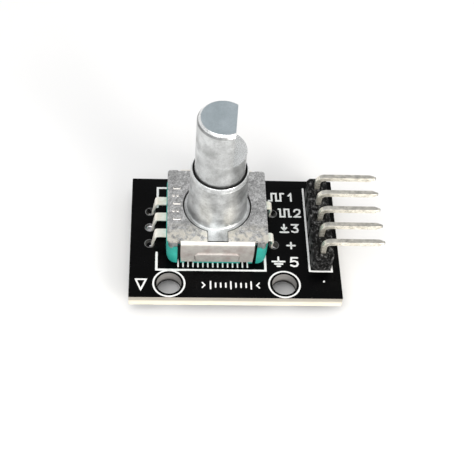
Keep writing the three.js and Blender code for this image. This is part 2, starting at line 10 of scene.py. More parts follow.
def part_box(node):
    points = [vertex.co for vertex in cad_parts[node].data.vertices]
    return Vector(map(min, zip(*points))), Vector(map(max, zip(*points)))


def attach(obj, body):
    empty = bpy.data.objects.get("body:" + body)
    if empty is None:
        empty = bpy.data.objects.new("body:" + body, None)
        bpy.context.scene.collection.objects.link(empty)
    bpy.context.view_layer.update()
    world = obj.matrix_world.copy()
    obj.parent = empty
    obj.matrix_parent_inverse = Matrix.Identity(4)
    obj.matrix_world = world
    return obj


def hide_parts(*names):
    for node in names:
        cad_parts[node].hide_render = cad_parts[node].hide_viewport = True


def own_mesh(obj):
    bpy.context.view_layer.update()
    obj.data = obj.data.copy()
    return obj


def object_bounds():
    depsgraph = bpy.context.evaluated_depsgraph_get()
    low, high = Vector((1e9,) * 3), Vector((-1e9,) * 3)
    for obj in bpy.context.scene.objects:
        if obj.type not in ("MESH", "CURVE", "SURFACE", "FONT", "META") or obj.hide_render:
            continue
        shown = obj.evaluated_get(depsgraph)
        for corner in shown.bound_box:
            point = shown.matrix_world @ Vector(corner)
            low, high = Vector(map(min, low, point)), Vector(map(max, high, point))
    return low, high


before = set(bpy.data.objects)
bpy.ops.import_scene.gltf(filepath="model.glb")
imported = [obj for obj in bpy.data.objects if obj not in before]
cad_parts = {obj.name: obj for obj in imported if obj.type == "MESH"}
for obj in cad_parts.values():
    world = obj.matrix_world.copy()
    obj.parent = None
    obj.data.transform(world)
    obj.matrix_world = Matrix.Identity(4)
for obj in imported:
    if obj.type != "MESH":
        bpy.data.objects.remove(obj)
cad_low, cad_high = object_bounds()

METRES = 0.001
UP = Vector((0, 0, 1))


def box_mm(node):
    """The lowest and highest corner of a CAD node, in millimetres."""
    low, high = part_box(node)
    return low / METRES, high / METRES


def centre_mm(node):
    low, high = box_mm(node)
    return (low + high) / 2


# ------ sizes, in millimetres

BOARD_LOW, BOARD_HIGH = box_mm("circuit_board")
BOARD_TOP = BOARD_HIGH.z
MOUNTING_HOLE_RADIUS = 1.5
MOUNTING_HOLES = [(x, BOARD_LOW.y + 2.05) for x in (BOARD_LOW.x + 4.85, BOARD_HIGH.x - 7.05)]
PIN_HOLE_RADIUS = 0.5
TERMINAL_HOLE_RADIUS = 0.6

HOUSING_LOW, HOUSING_HIGH = box_mm("encoder_housing")
SWITCH_LOW, SWITCH_HIGH = box_mm("switch_housing")
COVER_LOW, COVER_HIGH = box_mm("cover_plate")
BUSHING_LOW, BUSHING_HIGH = box_mm("bushing")
SHAFT_LOW, SHAFT_HIGH = box_mm("shaft")
HOUSING_CORNER = 1.2
CAVITY_FLOOR = BOARD_TOP + 1.7
LEG_HALF_WIDTH = 4.45
LEG_FACE = COVER_HIGH.y - 0.2
LEG_GAPS = (-4.82, 4.44)
LEG_GAP_WIDTH = 0.38
COVER_HALF_DEPTH = 5.55
COVER_OPENING_RADIUS = 4.22
COLLAR_RADIUS = 4.05
BORE_RADIUS = 3.05
COUNTERBORE_RADIUS = 3.26
CAVITY_RADIUS = 4.75
CAVITY_WALL_RADIUS = 5.05
SHEET = 0.35
TERMINAL_SHEET = 0.25
KNEE_SPREAD = 0.4
SHAFT_RADIUS = 3.0
SHAFT_TURN = math.radians(-5)
FLAT_DISTANCE = 1.5
FLAT_BOTTOM = BOARD_TOP + 15.05

SIGNAL_TERMINALS = ("terminal_a", "terminal_c", "terminal_b")
SWITCH_TERMINALS = ("terminal_d", "terminal_e")
TERMINALS = SIGNAL_TERMINALS + SWITCH_TERMINALS
TERMINAL_CENTRES = [centre_mm(f"solder_{name}") for name in TERMINALS]
PIN_CENTRES = [centre_mm(f"solder_pin_{i}") for i in range(1, 6)]
PIN_SIZE = 0.64

# ------ shapes


def arc(centre, radius, start, end, steps):
    """Points on an arc between two angles in degrees, both ends included."""
    points = []
    for i in range(steps + 1):
        angle = math.radians(start + (end - start) * i / steps)
        points.append((centre[0] + radius * math.cos(angle), centre[1] + radius * math.sin(angle)))
    return points


def rounded_rectangle(low, high, corner, steps=8):
    """An outline, counter-clockwise, between two (x, y) corners."""
    (x0, y0), (x1, y1) = low, high
    return (
        arc((x1 - corner, y0 + corner), corner, -90, 0, steps)
        + arc((x1 - corner, y1 - corner), corner, 0, 90, steps)
        + arc((x0 + corner, y1 - corner), corner, 90, 180, steps)
        + arc((x0 + corner, y0 + corner), corner, 180, 270, steps)
    )


def circle(centre, radius, steps):
    return arc(centre, radius, 0, 360 - 360 / steps, steps - 1)


def placed(name, data):
    """A new object in the scene that shows the given mesh, light or camera."""
    obj = bpy.data.objects.new(name, data)
    bpy.context.scene.collection.objects.link(obj)
    return obj


def object_from(bm):
    bmesh.ops.recalc_face_normals(bm, faces=bm.faces)
    mesh = bpy.data.meshes.new("part")
    bm.to_mesh(mesh)
    bm.free()
    return placed("part", mesh)


def add_rings(bm, rings, closed=False):
    """Joins rings of points with quads. An open run of rings is capped at both ends."""
    made = [[bm.verts.new(point) for point in ring] for ring in rings]
    pairs = list(zip(made, made[1:]))
    if closed:
        pairs.append((made[-1], made[0]))
    count = len(made[0])
    for a, b in pairs:
        for i in range(count):
            j = (i + 1) % count
            bm.faces.new((a[i], a[j], b[j], b[i]))
    if not closed:
        bm.faces.new(made[0][::-1])
        bm.faces.new(made[-1])


def lofted(rings, closed=False):
    bm = bmesh.new()
    add_rings(bm, rings, closed)
    return object_from(bm)


def prism(outline, low, high, along="z"):
    """A straight solid: the outline is (x, y), or (y, z) along x, or (x, z) along y."""
    place = {
        "z": lambda u, v, w: (u, v, w),
        "x": lambda u, v, w: (w, u, v),
        "y": lambda u, v, w: (u, w, v),
    }[along]
    bm = bmesh.new()
    near = [bm.verts.new(place(u, v, low)) for u, v in outline]
    far = [bm.verts.new(place(u, v, high)) for u, v in outline]
    bm.faces.new(near[::-1])
    bm.faces.new(far)
    for i in range(len(outline)):
        j = (i + 1) % len(outline)
        bm.faces.new((near[i], near[j], far[j], far[i]))
    return object_from(bm)


def block(low, high):
    outline = [(low[0], low[1]), (high[0], low[1]), (high[0], high[1]), (low[0], high[1])]
    return prism(outline, low[2], high[2])


def disc(radius, low, high, steps=96):
    """An upright cylinder round the encoder's axis."""
    return prism(circle((0, 0), radius, steps), low, high)


def turned(profile, steps=96, centre=(0, 0), closed=False):
    """Turns (radius, height) points round a vertical axis. An open profile is capped flat."""
    rings = [[(x, y, height) for x, y in circle(centre, radius, steps)] for radius, height in profile]
    return lofted(rings, closed)


def section(width, thickness, corner):
    """A rounded rectangle round the origin, as (across, normal) offsets."""
    half = (width / 2, thickness / 2)
    return rounded_rectangle((-half[0], -half[1]), half, corner, 2)


def applied(obj):
    """Replaces an object's mesh with what its modifiers make of it."""
    graph = bpy.context.evaluated_depsgraph_get()
    mesh = bpy.data.meshes.new_from_object(obj.evaluated_get(graph))
    obj.modifiers.clear()
    obj.data = mesh
    return obj


def combine(base, operation, *tools):
    for tool in tools:
        modifier = base.modifiers.new("combine", "BOOLEAN")
        modifier.operation = operation
        modifier.object = tool
        modifier.solver = "EXACT"
        applied(base)
        bpy.data.objects.remove(tool)
    return base


def cut(base, *tools):
    return combine(base, "DIFFERENCE", *tools)


def join(base, *tools):
    return combine(base, "UNION", *tools)


def clean(obj):
    """Merges points that lie together and dissolves edges between level faces."""
    bm = bmesh.new()
    bm.from_mesh(obj.data)
    bmesh.ops.remove_doubles(bm, verts=bm.verts, dist=1e-4)
    bmesh.ops.dissolve_limit(bm, angle_limit=math.radians(0.4), verts=bm.verts, edges=bm.edges)
    bmesh.ops.recalc_face_normals(bm, faces=bm.faces)
    bm.to_mesh(obj.data)
    bm.free()
    return obj


def softened(obj, width, steps=2, angle=32, edge_slot=-1):
    """Rounds every edge sharper than the angle, and gives the new faces a material slot."""
    clean(obj)
    if edge_slot > 0:
        while len(obj.data.materials) <= edge_slot:
            obj.data.materials.append(None)
    modifier = obj.modifiers.new("soften", "BEVEL")
    modifier.width = width
    modifier.segments = steps
    modifier.limit_method = "ANGLE"
    modifier.angle_limit = math.radians(angle)
    modifier.material = edge_slot
    return applied(obj)


def smoothed(obj, angle=34):
    obj.data.polygons.foreach_set("use_smooth", [True] * len(obj.data.polygons))
    obj.data.set_sharp_from_angle(angle=math.radians(angle))
    modifier = obj.modifiers.new("normals", "WEIGHTED_NORMAL")
    modifier.keep_sharp = True
    return applied(obj)


def finished(obj, name, materials, stands_for=(), angle=34, body="base"):
    """Gives a piece its name, materials and body, and turns millimetres into metres."""
    obj.name = name
    obj.data.name = name
    obj.data.materials.clear()
    for material in materials:
        obj.data.materials.append(material)
    smoothed(obj, angle)
    obj.data.transform(Matrix.Scale(METRES, 4))
    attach(obj, body)
    if stands_for:
        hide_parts(*stands_for)
    return obj


def merged(objects):
    """One object from several meshes."""
    bm = bmesh.new()
    for obj in objects:
        bm.from_mesh(obj.data)
        bpy.data.objects.remove(obj)
    return object_from(bm)


# ------ materials


def set_stops(ramp, stops):
    """Gives a colour ramp its stops: each is (place, colour or grey)."""
    elements = ramp.color_ramp.elements
    while len(elements) < len(stops):
        elements.new(0.5)
    for element, (place, value) in zip(elements, stops):
        element.position = place
        element.color = (*value, 1) if isinstance(value, tuple) else (value, value, value, 1)


class Look:
    """A node material under construction, with short calls for the nodes it needs."""

    def __init__(self, name, specular=0.5, metallic=0.0):
        self.material = bpy.data.materials.new(name)
        self.material.use_nodes = True
        self.tree = self.material.node_tree
        self.tree.nodes.clear()
        output = self.node("OutputMaterial")
        self.shader = self.node("BsdfPrincipled")
        self.shader.inputs["Specular IOR Level"].default_value = specular
        self.shader.inputs["Metallic"].default_value = metallic
        self.feed(output.inputs["Surface"], self.shader.outputs["BSDF"])
        self.place = self.node("TexCoord").outputs["Object"]

    def node(self, kind, **settings):
        made = self.tree.nodes.new("ShaderNode" + kind)
        for key, value in settings.items():
            setattr(made, key, value)
        return made

    def feed(self, socket, value):
        """Gives an input a number or a colour, or links another node's output to it."""
        if isinstance(value, (int, float)):
            socket.default_value = value
        elif isinstance(value, tuple):
            socket.default_value = (*value, 1)
        else:
            self.tree.links.new(value, socket)

    def texture(self, kind, size, stretch=(1, 1, 1)):
        """A texture whose marks are about size millimetres across."""
        mapping = self.node("Mapping")
        mapping.inputs["Scale"].default_value = stretch
        self.feed(mapping.inputs["Vector"], self.place)
        made = self.node(kind)
        made.inputs["Scale"].default_value = 1 / (size * METRES)
        self.feed(made.inputs["Vector"], mapping.outputs["Vector"])
        return made

    def noise(self, size, detail=3, rough=0.55, stretch=(1, 1, 1)):
        made = self.texture("TexNoise", size, stretch)
        made.inputs["Detail"].default_value = detail
        made.inputs["Roughness"].default_value = rough
        return made.outputs["Fac"]

    def cells(self, size, output="Color"):
        return self.texture("TexVoronoi", size).outputs[output]

    def ramp(self, source, *stops):
        made = self.node("ValToRGB")
        set_stops(made, stops)
        self.feed(made.inputs["Fac"], source)
        return made.outputs["Color"]

    def spread(self, source, low, high):
        """Maps the middle of a noise, from 0.3 to 0.7, to two colours or greys."""
        return self.ramp(source, (0.3, low), (0.7, high))

    def mixed(self, factor, first, second, blend="MIX"):
        made = self.node("Mix", data_type="RGBA", blend_type=blend)
        for index, value in ((0, factor), (6, first), (7, second)):
            self.feed(made.inputs[index], value)
        return made.outputs[2]

    def maths(self, operation, first, second):
        made = self.node("Math", operation=operation)
        self.feed(made.inputs[0], first)
        self.feed(made.inputs[1], second)
        return made.outputs[0]

    def share(self, axis, start, end):
        """0 to 1 as a point goes from start to end along an axis, both in millimetres."""
        axes = self.node("SeparateXYZ")
        self.feed(axes.inputs[0], self.place)
        made = self.node("MapRange")
        made.inputs["From Min"].default_value = start * METRES
        made.inputs["From Max"].default_value = end * METRES
        self.feed(made.inputs["Value"], axes.outputs[axis])
        return made.outputs[0]

    def surface(self, colour, roughness, height, depth):
        """Sets colour, roughness and a relief of depth millimetres, and returns the material."""
        self.feed(self.shader.inputs["Base Color"], colour)
        self.feed(self.shader.inputs["Roughness"], roughness)
        bump = self.node("Bump")
        bump.inputs["Strength"].default_value = 1.0
        bump.inputs["Distance"].default_value = depth * METRES
        self.feed(bump.inputs["Height"], height)
        self.feed(self.shader.inputs["Normal"], bump.outputs["Normal"])
        return self.material


def solder_mask():
    look = Look("solder_mask_black", specular=0.07)
    weave = look.noise(0.35, 2, 0.5, (1, 1, 0.2))
    smudge = look.noise(3.2, 4, 0.6, (0.6, 1.2, 1))
    specks = look.ramp(look.noise(0.16, 2, 0.5), (0.68, 0.0), (0.8, 1.0))
    haze = look.ramp(smudge, (0.5, 0.0), (0.85, 0.55))
    base = look.mixed(haze, (0.0008, 0.0008, 0.001), (0.004, 0.004, 0.0045))
    colour = look.mixed(look.maths("MULTIPLY", specks, 0.2), base, (0.06, 0.06, 0.06))
    return look.surface(colour, look.ramp(smudge, (0.3, 0.16), (0.75, 0.42)), weave, 0.006)


def ink():
    look = Look("silkscreen_white", specular=0.3)
    grain = look.noise(0.12)
    white = look.ramp(grain, (0.25, (0.74, 0.74, 0.73)), (0.6, (0.9, 0.9, 0.89)))
    return look.surface(white, look.ramp(grain, (0.2, 0.5), (0.8, 0.75)), grain, 0.01)


def board_core(name, lower, upper, split):
    """Cut glass-epoxy with fibre layers, in a lower and an upper tone split by height at a wavy line."""
    look = Look(name, specular=0.25)
    layers = look.noise(0.5, 5, 0.65, (0.25, 0.25, 5))
    grain = look.noise(0.1, 3, 0.6)
    wavy = look.maths("ADD", look.share("Z", 0, BOARD_TOP), look.maths("MULTIPLY", layers, 0.35))
    tone = look.ramp(wavy, (split - 0.1, lower), (split + 0.12, upper))
    colour = look.mixed(0.7, tone, look.ramp(layers, (0.3, 0.62), (0.6, 1.0)), "MULTIPLY")
    rough = look.ramp(grain, (0.2, 0.55), (0.8, 0.85))
    return look.surface(colour, rough, look.mixed(0.5, layers, grain), 0.04)


def galvanised():
    """Zinc-coated sheet: small crystals, and a painted cream highlight on the top face towards the cover's
    front fold.
    """
    look = Look("galvanised_steel", metallic=1.0)
    flakes = look.cells(0.28)
    cloud = look.noise(1.4, 4, 0.6)
    fine = look.noise(0.13, 3, 0.7)
    flake_grey = look.ramp(flakes, (0.1, 0.34), (0.5, 0.6), (0.9, 0.95))
    speckled = look.mixed(0.5, flake_grey, look.ramp(fine, (0.38, 0.16), (0.62, 1.0)))
    shaded = look.mixed(0.5, speckled, look.ramp(cloud, (0.32, 0.45), (0.66, 1.0)), "MULTIPLY")
    # Painted highlight: a cream patch towards the front of the top face, for the bright front reflected
    # there.
    highlight_patch = look.ramp(look.noise(0.8, 4, 0.6), (0.4, 0.0), (0.56, 1.0))
    highlight_near_fold = look.maths("MULTIPLY", highlight_patch, look.share("Y", -2.6, -4.6))
    colour = look.mixed(look.maths("MULTIPLY", highlight_near_fold, 0.75), shaded, (1.0, 0.95, 0.84))
    return look.surface(colour, look.spread(fine, 0.34, 0.58), look.mixed(0.4, fine, flakes), 0.012)


def folded_steel_painted_light():
    """The same sheet on the cover's legs and pressed marks: warmer, with a painted highlight at the fold
    and painted shade lower down the legs.
    """
    look = Look("folded_steel_painted_light", metallic=0.6)
    cloud = look.noise(1.1, 4, 0.6)
    fine = look.noise(0.12, 3, 0.6, (0.3, 1, 1))
    pink, grey, cream = (0.68, 0.58, 0.54), (0.84, 0.8, 0.76), (0.97, 0.95, 0.88)
    tone = look.ramp(cloud, (0.32, pink), (0.5, grey), (0.7, cream))
    tone = look.mixed(0.25, tone, look.spread(fine, 0.5, 1.0))
    # Painted shade below the fold and a painted cream highlight at the fold, blended by height.
    below = look.mixed(1.0, tone, (0.74, 0.73, 0.72), "MULTIPLY")
    fold = look.mixed(0.5, tone, (1.0, 0.97, 0.88))
    colour = look.mixed(look.share("Z", COVER_HIGH.z - 0.6, COVER_HIGH.z - 0.2), below, fold)
    return look.surface(colour, look.spread(fine, 0.34, 0.52), fine, 0.008)


def die_cast(name, low, high, rough, relief):
    """Cast or turned zinc between two greys, with faint pits."""
    look = Look(name, metallic=1.0)
    cloud = look.noise(1.5, 5, 0.6)
    fine = look.noise(0.16, 4, 0.65)
    tone = look.ramp(cloud, (0.32, low), (0.68, high))
    shaded = look.mixed(0.6, tone, look.ramp(fine, (0.28, 0.55), (0.5, 1.0)), "MULTIPLY")
    pits = look.ramp(look.cells(0.5, "Distance"), (0.02, 0.2), (0.14, 1.0))
    marked = look.mixed(0.25, shaded, pits, "MULTIPLY")
    colour = look.mixed(1.0, marked, (0.98, 1.0, 1.0), "MULTIPLY")
    return look.surface(colour, look.spread(fine, *rough), look.mixed(0.4, fine, cloud), relief)


def turned_end():
    """The shaft's end face: smooth, with a blue tint painted in for a reflection."""
    look = Look("shaft_turned_end", metallic=1.0)
    fine = look.noise(0.14, 3, 0.6)
    # Painted reflection: the blue-grey tone stands in for what the end face reflects from above.
    tone = look.spread(look.noise(1.8, 4, 0.6), (0.5, 0.58, 0.62), (0.62, 0.7, 0.75))
    colour = look.mixed(0.25, tone, look.spread(fine, 0.45, 1.0), "MULTIPLY")
    return look.surface(colour, look.spread(fine, 0.28, 0.4), fine, 0.006)


def teal_plastic():
    look = Look("teal_moulding", specular=0.45)
    flow = look.noise(1.4)
    grain = look.noise(0.09, 2)
    tone = look.spread(flow, (0.018, 0.30, 0.245), (0.035, 0.42, 0.35))
    colour = look.mixed(look.ramp(grain, (0.4, 0.0), (0.9, 0.25)), tone, (0.09, 0.55, 0.48))
    return look.surface(colour, look.spread(flow, 0.34, 0.48), grain, 0.006)


# Painted highlight: a lighter teal for the rounded edges of the mouldings, for the light lines along them.
def teal_edge_highlight():
    look = Look("teal_edge_painted_highlight")
    grain = look.noise(0.2)
    return look.surface(look.spread(grain, (0.09, 0.58, 0.5), (0.26, 0.78, 0.7)), 0.3, grain, 0.004)


def black_plastic():
    look = Look("black_moulding", specular=0.12)
    flow = look.noise(0.8, 4, 0.6)
    grain = look.noise(0.07, 2)
    # Grey blotches on the black: partly scuffs and dust, partly painted sheen.
    scuffs_and_sheen = look.ramp(look.noise(0.42, 5, 0.7, (1.4, 0.8, 1)), (0.52, 0.0), (0.68, 1.0))
    black = look.ramp(flow, (0.35, 0.001), (0.75, 0.006))
    colour = look.mixed(look.maths("MULTIPLY", scuffs_and_sheen, 0.8), black, (0.24, 0.24, 0.24))
    return look.surface(colour, look.spread(flow, 0.28, 0.5), look.mixed(0.5, grain, flow), 0.012)


# Grey rounded edges for the header: partly scuffing and dust, partly painted highlight where the edges
# catch the light.
def scuffed_and_highlit_plastic():
    look = Look("scuffed_and_highlit_black_edge")
    wear = look.noise(0.3, 4, 0.7)
    grey = look.ramp(wear, (0.34, 0.03), (0.54, (0.5, 0.5, 0.49)))
    return look.surface(grey, look.spread(wear, 0.35, 0.6), wear, 0.02)


def tin_plate(name, dull, bright, rough, metallic=0.9):
    look = Look(name, metallic=metallic)
    lines = look.noise(0.12, 3, 0.6, (0.12, 1, 1))
    tone = look.ramp(look.noise(0.7, 4, 0.6), (0.3, dull), (0.62, bright))
    colour = look.mixed(0.25, tone, look.ramp(lines, (0.3, 0.5), (0.6, 1.0)), "MULTIPLY")
    return look.surface(colour, look.spread(lines, *rough), lines, 0.006)


def one_grain(name, grain, tones, rough, relief, **settings):
    """A material whose colour, roughness and relief all follow one noise."""
    look = Look(name, **settings)
    source = look.noise(*grain)
    return look.surface(look.spread(source, *tones), look.spread(source, *rough), source, relief)


def resin(name, shade, light):
    look = Look(name, specular=0.4)
    flow = look.noise(1.0)
    colour = look.spread(flow, shade, light)
    return look.surface(colour, look.spread(flow, 0.4, 0.6), look.noise(0.08, 2), 0.005)


def stage_paper():
    look = Look("pale_floor", specular=0.1)
    look.feed(look.shader.inputs["Base Color"], look.ramp(look.noise(40, 2), (0.2, 0.88), (0.8, 0.91)))
    look.feed(look.shader.inputs["Roughness"], 0.9)
    return look.material


MASK = solder_mask()
INK = ink()
EDGE = board_core("board_edge", (0.86, 0.8, 0.66), (0.4, 0.37, 0.32), 0.72)
# On the hole walls the near-black lower tone is painted shade, for the shadow in the lower part of each
# hole.
HOLE_WALL = board_core("board_hole_wall_painted_shade", (0.012, 0.012, 0.012), (0.3, 0.29, 0.28), 0.42)
COVER = galvanised()
FOLD = folded_steel_painted_light()
# Painted shade: a dark tin for the sloping sides of the leg ribs.
SHADE = tin_plate("rib_painted_shade", (0.16, 0.14, 0.12), (0.34, 0.3, 0.27), (0.35, 0.5), 0.6)
CAST = die_cast("die_cast_zinc", 0.4, 0.84, (0.3, 0.46), 0.016)
SHAFT = die_cast("shaft_zinc", 0.42, 0.74, (0.32, 0.48), 0.018)
# Painted highlight: a near-white metal for the upper chamfer facets and rim tops; painted shade: a darker
# metal for the band below the shaft's chamfer.
CHAMFER_HIGHLIGHT = die_cast("chamfer_painted_highlight", 0.8, 0.95, (0.2, 0.32), 0.004)
BAND_SHADE = die_cast("band_painted_shade", 0.26, 0.42, (0.3, 0.42), 0.008)
SHAFT_END = turned_end()
DARK, BROWN = (0.006, 0.006, 0.006), (0.03, 0.028, 0.026)
# Painted shade: a near-black material for the grooves beside the legs, the counterbore and the gap round
# the collar.
RECESS_SHADE = one_grain("recess_painted_shade", (0.4, 3), (DARK, BROWN), (0.3, 0.55), 0.01, specular=0.3)
TEAL = teal_plastic()
TEAL_EDGE_HIGHLIGHT = teal_edge_highlight()
MOULDED = [TEAL, TEAL_EDGE_HIGHLIGHT, RECESS_SHADE]
BLACK = black_plastic()
SCUFFED_AND_HIGHLIT = scuffed_and_highlit_plastic()
TERMINAL = tin_plate("terminal_tin", (0.9, 0.84, 0.72), (1.0, 0.98, 0.91), (0.34, 0.5), 0.3)
PIN = tin_plate("pin_tin", (0.62, 0.58, 0.48), (0.98, 0.94, 0.83), (0.22, 0.38), 0.7)
# Painted shade: a darker grey for the pins' upward faces, where the darker sky above is reflected.
PIN_TOP_SHADE = tin_plate("pin_top_painted_shade", (0.38, 0.37, 0.34), (0.68, 0.66, 0.6), (0.26, 0.4), 0.8)
PIN_TIP = tin_plate("pin_cut_end", (0.2, 0.2, 0.19), (0.42, 0.41, 0.38), (0.3, 0.45), 0.8)
RIM = tin_plate("plated_rim", (0.1, 0.1, 0.1), (0.3, 0.3, 0.3), (0.3, 0.5))
SILVER, BRIGHT = (0.5, 0.5, 0.52), (0.78, 0.78, 0.8)
SOLDER = one_grain("solder_bright", (0.5, 4, 0.6), (SILVER, BRIGHT), (0.16, 0.34), 0.02, metallic=1.0)
TAN, GOLD = (0.55, 0.42, 0.2), (0.8, 0.66, 0.4)
DRAWN = (0.15, 3, 0.6, (0.2, 1, 1))
BRONZE = one_grain("spring_bronze", DRAWN, (TAN, GOLD), (0.22, 0.4), 0.004, metallic=1.0)
RESIN = resin("natural_acetal", (0.6, 0.55, 0.42), (0.74, 0.7, 0.57))
CERAMIC = resin("resistor_glaze", (0.008, 0.008, 0.009), (0.02, 0.02, 0.022))
ALUMINA = resin("resistor_alumina", (0.62, 0.62, 0.6), (0.8, 0.8, 0.78))

# ------ circuit board


def hole_places():
    """Every hole of the board as (x, y, radius, steps, metal rim)."""
    found = [(x, y, MOUNTING_HOLE_RADIUS, 96, False) for x, y in MOUNTING_HOLES]
    found += [(*middle.xy, TERMINAL_HOLE_RADIUS, 40, True) for middle in TERMINAL_CENTRES]
    found += [(*middle.xy, PIN_HOLE_RADIUS, 40, True) for middle in PIN_CENTRES]
    return found


def circuit_board():
    outline = rounded_rectangle(BOARD_LOW[:2], BOARD_HIGH[:2], 0.12, 4)
    board = prism(outline, BOARD_LOW.z, BOARD_TOP)
    for x, y, radius, steps, _rim in hole_places():
        cut(board, prism(circle((x, y), radius, steps), -1, BOARD_TOP + 1))
    softened(board, 0.035, 2)
    finished(board, "board", [MASK, EDGE, HOLE_WALL], ["circuit_board"])
    for face in board.data.polygons:
        if abs(face.normal.z) > 0.75:
            face.material_index = 0
            continue
        x, y = face.center.xy / METRES
        margin = min(x - BOARD_LOW.x, BOARD_HIGH.x - x, y - BOARD_LOW.y, BOARD_HIGH.y - y)
        face.material_index = 2 if margin > 0.3 else 1


RIM_PROFILE = [(-0.04, -0.25), (-0.04, 0.012), (-0.01, 0.022), (0.05, 0.012), (0.06, -0.05)]


def plated_rims():
    """The thin bright rim of each plated hole, on both faces of the board."""
    rims = []
    for x, y, radius, steps, rim in hole_places():
        if not rim:
            continue
        for level, side in ((BOARD_TOP, 1), (BOARD_LOW.z, -1)):
            profile = [(radius + reach, level + side * rise) for reach, rise in RIM_PROFILE]
            rims.append(turned(profile, steps, (x, y), closed=True))
    finished(merged(rims), "plated_hole_rims", [RIM])


# ------ printed marks and traces


def resampled(points, closed, step=0.14):
    """Points along a polyline, no further apart than step, with its corners kept."""
    route = [Vector(p) for p in points]
    if closed:
        route.append(route[0])
    made = [route[0]]
    for a, b in zip(route, route[1:]):
        count = max(1, math.ceil((b - a).length / step))
        made += [a.lerp(b, i / count) for i in range(1, count + 1)]
    return made[:-1] if closed else made


def ribbon(bm, points, width, level, height, ragged=0.0, closed=False, side=1):
    """A raised printed line with round ends along (x, y) points, on a face at the given level."""
    route = resampled(points, closed)
    count = len(route)
    half = width / 2
    rings = []

    def ring(centre, across, reach):
        shift = noise.noise(Vector((centre.x * 5.1, centre.y * 5.1, level))) * ragged
        reach *= 1 + noise.noise(Vector((centre.x * 6.3, centre.y * 6.3, 7.0))) * ragged * 3
        middle = centre + across * shift * half
        offsets = [(-1.0, -0.03), (-0.86, height * 0.8), (-0.5, height)]
        offsets += [(0.5, height), (0.86, height * 0.8), (1.0, -0.03)]
        made = []
        for share, rise in offsets:
            point = middle + across * reach * share
            made.append((point.x, point.y, level + side * rise))
        rings.append(made)

    for i, point in enumerate(route):
        before = route[i - 1] if i or closed else point
        after = route[(i + 1) % count] if i < count - 1 or closed else point
        first = (point - before).normalized() if (point - before).length else None
        second = (after - point).normalized() if (after - point).length else None
        way = ((first or second) + (second or first)).normalized()
        across = Vector((-way.y, way.x))
        mitre = 1 / max(0.5, across.dot(Vector((-(second or first).y, (second or first).x))))
        if not closed and i == 0:
            for turn in (8, 35, 62):
                angle = math.radians(turn)
                ring(point - way * half * math.cos(angle), across, half * math.sin(angle))
        ring(point, across, half * mitre)
        if not closed and i == count - 1:
            for turn in (62, 35, 8):
                angle = math.radians(turn)
                ring(point + way * half * math.cos(angle), across, half * math.sin(angle))
    add_rings(bm, rings, closed)


def fitted(strokes, low, high):
    """Strokes drawn in a unit square, fitted between two corners in millimetres."""
    size = (high[0] - low[0], high[1] - low[1])
    return [[(low[0] + u * size[0], low[1] + v * size[1]) for u, v in stroke] for stroke in strokes]


ONE = [[(0.1, 0.72), (0.55, 1), (0.55, 0)]]
TWO = [[(0, 0.72), (0.12, 0.92), (0.5, 1), (0.88, 0.92), (1, 0.7), (0.85, 0.45), (0, 0), (1, 0)]]
BOWL = [(1, 0.28), (0.82, 0.05), (0.4, 0), (0, 0.12)]
THREE = [[(0, 1), (1, 1), (0.45, 0.6), (0.85, 0.52), *BOWL]]
FIVE = [[(0.95, 1), (0.1, 1), (0.02, 0.55), (0.5, 0.63), (0.9, 0.52), *BOWL]]
PLUS = [[(0, 0.5), (1, 0.5)], [(0.5, 0), (0.5, 1)]]
PULSES = [[(0, 0), (0.2, 0), (0.2, 1), (0.5, 1), (0.5, 0), (0.8, 0), (0.8, 1), (1, 1)]]
LATE_PULSES = [[(0, 1), (0.12, 1), (0.12, 0), (0.48, 0), (0.48, 1), (0.84, 1), (0.84, 0), (1, 0)]]
PUSH = [[(0, 0), (1, 0)], [(0.5, 0.32), (0.5, 1)], [(0.22, 0.58), (0.5, 0.3), (0.78, 0.58)]]
GROUND = [[(0.5, 1), (0.5, 0.5)]]
GROUND += [[(0.5 - half, y), (0.5 + half, y)] for half, y in ((0.5, 0.5), (0.3, 0.22), (0.1, -0.04))]


